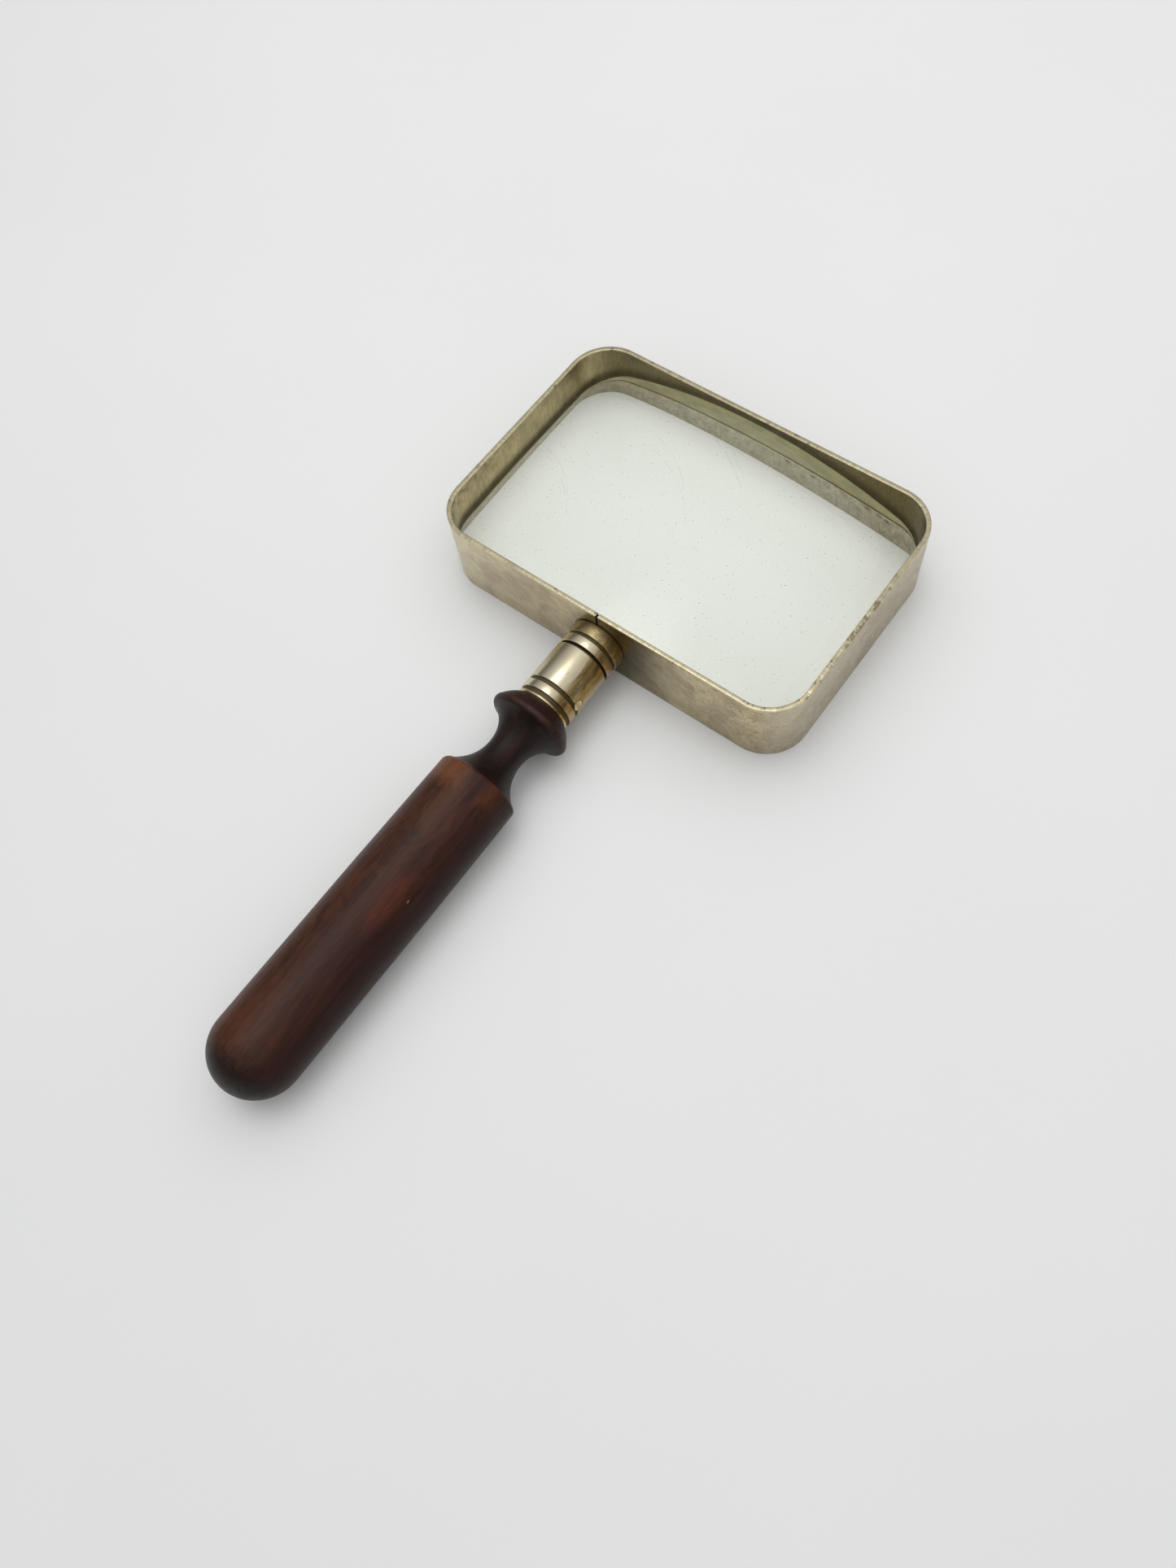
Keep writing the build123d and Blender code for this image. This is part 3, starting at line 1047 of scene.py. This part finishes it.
def steel_material():
    s = Shader("screw_steel")
    x, distance, height = s.along_handle()
    grain = s.noise(s.vector(s.times(distance, 4.0), x, height), 1.5, 4.0, 0.7)
    rust = s.ramp(s.noise(s.vector(x, distance, height), 0.8, 5.0, 0.7), 0.52, 0.68)
    colour = s.mix(s.times(rust, 0.5), STEEL, RUST)
    rough = s.blend(rust, 0.32, 0.6)
    return s.surface(Base_Color=colour, Metallic=1.0, Roughness=rough, Normal=s.bump(grain, 0.02, 0.4))


# ---- wood ----

EBONY = (0.0110, 0.0060, 0.0055)
UMBER = (0.029, 0.0100, 0.0072)
# painted shade for the grip's right side and underneath
GRIP_SHADE = (0.0185, 0.0080, 0.0065)
REDDISH = (0.056, 0.0180, 0.0115)
WARM_RED = (0.085, 0.029, 0.0120)
RED = (0.105, 0.0255, 0.0105)
ORANGE = (0.120, 0.040, 0.0145)
TAN = (0.168, 0.063, 0.0260)
BARE_WOOD = (0.26, 0.18, 0.14)
WAIST_GRAIN = (0.027, 0.0105, 0.0085)
FLANGE_FACE = (0.025, 0.0095, 0.0070)
# flange crest: partly wear, partly painted highlight
FLANGE_CREST = (0.054, 0.0235, 0.0155)


def wood_patterns(s):
    """Places on the handle, and the grain and wear that its marks share."""
    w = SimpleNamespace()
    w.x, w.distance, w.height = s.along_handle()
    w.turn = s.turn_degrees(w.x, w.height)

    def lengthwise(across, along, detail, distortion):
        point = s.vector(s.times(w.x, across), s.times(w.distance, along), s.times(w.height, across))
        return s.noise(point, 1.0, detail, 0.66, distortion)

    w.grain = lengthwise(0.42, 0.040, 5.0, 0.7)
    w.fine = lengthwise(2.4, 0.16, 5.0, 0.3)
    w.ragged = lengthwise(0.9, 0.22, 6.0, 0.5)
    w.worn = lengthwise(0.15, 0.055, 4.0, 0.8)
    w.rings = s.noise(s.vector(s.times(w.distance, 3.0), 0.0, 0.0), 1.0, 3.0, 0.7)
    return w


def grip_colour(s, w):
    """Red and orange grain with painted light on the lit left side, tan at the front, black at the butt,
    and painted shade on the right; also where the shaded side is.
    """
    # painted light: warmer and more orange on the lit left side, over real grain and worn patches
    left = s.times(s.ramp(w.turn, 70.0, 125.0), s.ramp(w.turn, 262.0, 190.0))
    colour = s.mix(s.ramp(w.grain, 0.34, 0.66), UMBER, REDDISH)
    warm_side = s.times(left, s.ramp(w.ragged, 0.36, 0.58))
    colour = s.tint(colour, WARM_RED, warm_side, 0.65)
    colour = s.tint(colour, ORANGE, s.ramp(w.worn, 0.52, 0.70), s.blend(left, 0.25, 0.7))
    ragged_distance = s.math("ADD", w.distance, s.times(s.math("SUBTRACT", w.ragged, 0.5), 9.0))
    front = s.ramp(ragged_distance, 53.0, 49.5)
    front_left = s.times(front, s.ramp(w.turn, 78.0, 100.0), s.ramp(w.turn, 240.0, 180.0))
    front_right = s.times(front, s.window(w.turn, 22.0, 52.0, 14.0))
    colour = s.tint(colour, TAN, front_left, 0.8)
    colour = s.tint(colour, ORANGE, front_right, 0.55)
    by_nick = s.spot(ragged_distance, w.turn, (79.5, 60.0), (7.0, 14.0), 0.6)
    colour = s.tint(colour, RED, by_nick, s.blend(s.ramp(w.fine, 0.42, 0.58), 0.2, 1.0))
    tail = s.spot(ragged_distance, w.turn, (117.0, 100.0), (10.0, 38.0), 0.8)
    colour = s.tint(colour, ORANGE, tail, 0.3)
    # painted shade on the right side and underneath
    right = s.shaded_side(w.turn, 60.0, 22.0)
    colour = s.tint(colour, GRIP_SHADE, right, 0.72)
    butt = s.ramp(ragged_distance, handle_end - 9.0, handle_end - 3.5)
    colour = s.tint(colour, EBONY, butt, 0.9)
    return s.tint(colour, EBONY, s.ramp(w.fine, 0.46, 0.66), 0.40), right


def waist_colour(s, w):
    """Near black in front of the grip, browner on the flange's face, and lighter on its crest from wear
    and a painted highlight.
    """
    colour = s.mix(s.times(s.ramp(w.grain, 0.40, 0.65), 0.8), EBONY, WAIST_GRAIN)
    front_face = s.window(w.distance, 22.5, 26.2, 0.8)
    face = s.times(front_face, s.blend(s.ramp(w.worn, 0.35, 0.6), 0.45, 0.9))
    colour = s.mix(face, colour, FLANGE_FACE)
    # crest lighter from wear and a painted highlight
    crest = s.window(w.distance, 26.6, 27.3, 0.5)
    crest = s.times(crest, s.blend(s.ramp(w.worn, 0.35, 0.6), 0.2, 0.75))
    return s.mix(crest, colour, FLANGE_CREST)


def grip_nick(s, w):
    """Small slanting nick in the right of the grip."""
    place, turn, slant = 77.0, 42.0, 0.15
    along = s.math("ADD", w.distance, s.times(w.turn, slant))
    return s.spot(along, w.turn, (place + turn * slant, turn), (0.36, 0.9), 0.5)


def wood_material():
    s = Shader("dark_wood")
    w = wood_patterns(s)
    grip, right = grip_colour(s, w)
    waist = waist_colour(s, w)
    on_grip = s.ramp(w.distance, 44.5, 46.0)
    colour = s.mix(on_grip, waist, grip)
    # painted shade: dark line at the shoulder where the neck meets the grip
    colour = s.tint(colour, EBONY, s.window(w.distance, 45.1, 45.4, 0.3), 0.6)
    colour = s.tint(colour, BARE_WOOD, grip_nick(s, w), 0.8)
    rough = s.blend(s.ramp(w.grain, 0.3, 0.7), 0.36, 0.46)
    rough = s.blend(on_grip, 0.44, rough)
    normal = s.bump(w.fine, 0.03, 0.6)
    normal = s.bump(w.rings, 0.015, 0.4, normal)
    normal = s.bump(w.worn, 0.5, 0.15, normal)
    gloss = s.blend(s.times(right, on_grip), 0.21, 0.13)
    return s.surface(Base_Color=colour, Roughness=rough, Specular_IOR_Level=gloss, Normal=normal)


def build_wood(material):
    """Screw hole, tenon, flange, neck, shoulder, grip and round butt, turned in one."""
    wood_steps, butt_steps = 160, 24
    profile = [
        (screw_hole_end, 0), (screw_hole_end, screw_hole_end_radius),
        (screw_taper_start, screw_hole_radius), (tenon_face, screw_hole_radius),
        (tenon_face, tenon_radius), (flange_foot[0], tenon_radius), flange_foot,
    ]
    profile += arc_through(flange_foot, flange_swell, flange_front, 14)
    profile += arc_through(flange_front, flange_crest, flange_back, 16)
    profile += bezier_through(flange_back, cove_entry, neck_front, neck, 26)
    profile += bezier_through(neck, neck_rear, flare_exit, shoulder, 26)
    profile += arc_through(shoulder, shoulder_round, grip_front, 9)
    profile += line_to(grip_front, grip_straight, 8)
    profile += line_to(grip_straight, butt_start, 8)
    for k in range(1, butt_steps + 1):
        turn = math.pi / 2 * k / butt_steps
        radius = 0 if k == butt_steps else grip_radius * math.cos(turn)
        profile.append((butt_start[0] + grip_radius * math.sin(turn), radius))
    piece = lathe(
        "turned_handle", profile, wood_steps, [material], "handle", "wood_handle", False
    )
    drill_for_pin(piece, pin_hole_floor, tenon_radius + 1.0, SHARP)
    return piece


# ---- stage, light and camera ----

TABLE_GREY = (0.80, 0.81, 0.81)
TABLE_PALE = (0.84, 0.845, 0.84)


def build_floor():
    s = Shader("pale_table")
    haze = s.noise(s.vector(*s.object_mm()), 0.01, 3.0, 0.5)
    colour = s.mix(haze, TABLE_GREY, TABLE_PALE)
    material = s.surface(Base_Color=colour, Roughness=0.55, Specular_IOR_Level=0.25)
    half = table_half_size
    mesh = bpy.data.meshes.new("table")
    corners = [(-half, -half, 0), (half, -half, 0), (half, half, 0), (-half, half, 0)]
    mesh.from_pydata(corners, [], [(0, 1, 2, 3)])
    mesh.materials.append(material)
    table = bpy.data.objects.new("table", mesh)
    bpy.context.scene.collection.objects.link(table)


def build_world():
    """Pale room, brightest overhead and towards the window, with a plain backdrop past the table."""
    world = bpy.data.worlds.new("room")
    bpy.context.scene.world = world
    world.use_nodes = True
    s = Nodes(world.node_tree)
    direction = s.add("TexCoord").outputs["Generated"]

    def lobe(middle, start, end, low, high):
        sides = {0: direction, 1: Vector(middle).normalized()}
        facing = s.add("VectorMath", sides, operation="DOT_PRODUCT").outputs["Value"]
        limits = {"Value": facing, "From Min": start, "From Max": end, "To Min": low, "To Max": high}
        return s.add("MapRange", limits, interpolation_type="SMOOTHSTEP").outputs[0]

    overhead = lobe((0, 0, 1), *room_spread, room_low, room_high)
    total = s.math("ADD", overhead, lobe(window_direction, *window_spread, 0.0, window_glow))
    seen = s.add("LightPath").outputs["Is Camera Ray"]
    background = s.tree.nodes["Background"]
    s.feed(background.inputs["Strength"], s.blend(seen, total, backdrop_glow))
    background.inputs["Color"].default_value = (1.0, 1.0, 1.0, 1.0)


def add_light(name, lamp, towards):
    """Light that comes from the side towards, and isn't seen in gloss or through glass."""
    light = bpy.data.objects.new(name, lamp)
    light.rotation_euler = towards.to_track_quat("Z", "Y").to_euler()
    bpy.context.scene.collection.objects.link(light)
    light.visible_glossy = False
    light.visible_transmission = False
    return light


def lamp_light():
    """Wide soft lamp over the far left of the lens."""
    lamp = bpy.data.lights.new("lamp", "AREA")
    lamp.shape = "DISK"
    lamp.size = lamp_size
    lamp.energy = lamp_power
    lamp.color = lamp_colour
    light = add_light("lamp", lamp, Vector(lamp_place) - Vector(lamp_aim))
    light.location = lamp_place


def fill_light():
    """Faint light from the near right, which softens the shadows."""
    lamp = bpy.data.lights.new("fill", "SUN")
    lamp.energy = fill_strength
    lamp.angle = math.radians(fill_spread)
    add_light("fill", lamp, Vector(fill_direction))


def build_camera():
    data = bpy.data.cameras.new("camera")
    data.sensor_width = camera_sensor
    data.lens = camera_focal_length
    camera = bpy.data.objects.new("camera", data)
    camera.location = camera_place
    camera.rotation_euler = [math.radians(angle) for angle in camera_turn]
    bpy.context.scene.collection.objects.link(camera)
    bpy.context.scene.camera = camera


def main():
    metal = ferrule_material()
    build_band(band_material())
    build_lens(glass_material(), ground_edge_material())
    build_collar(metal)
    build_ferrule(metal)
    build_wood(wood_material())
    stud = stud_material()
    plain = {
        "left_half_stud": stud,
        "right_half_stud": stud,
        "ferrule_pin": pin_material(),
        "handle_screw": steel_material(),
    }
    for node, material in plain.items():
        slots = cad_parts[node].data.materials
        for i in range(len(slots)):
            slots[i] = material
    build_floor()
    build_world()
    lamp_light()
    fill_light()
    build_camera()
    bpy.context.scene.view_settings.view_transform = "Standard"


main()
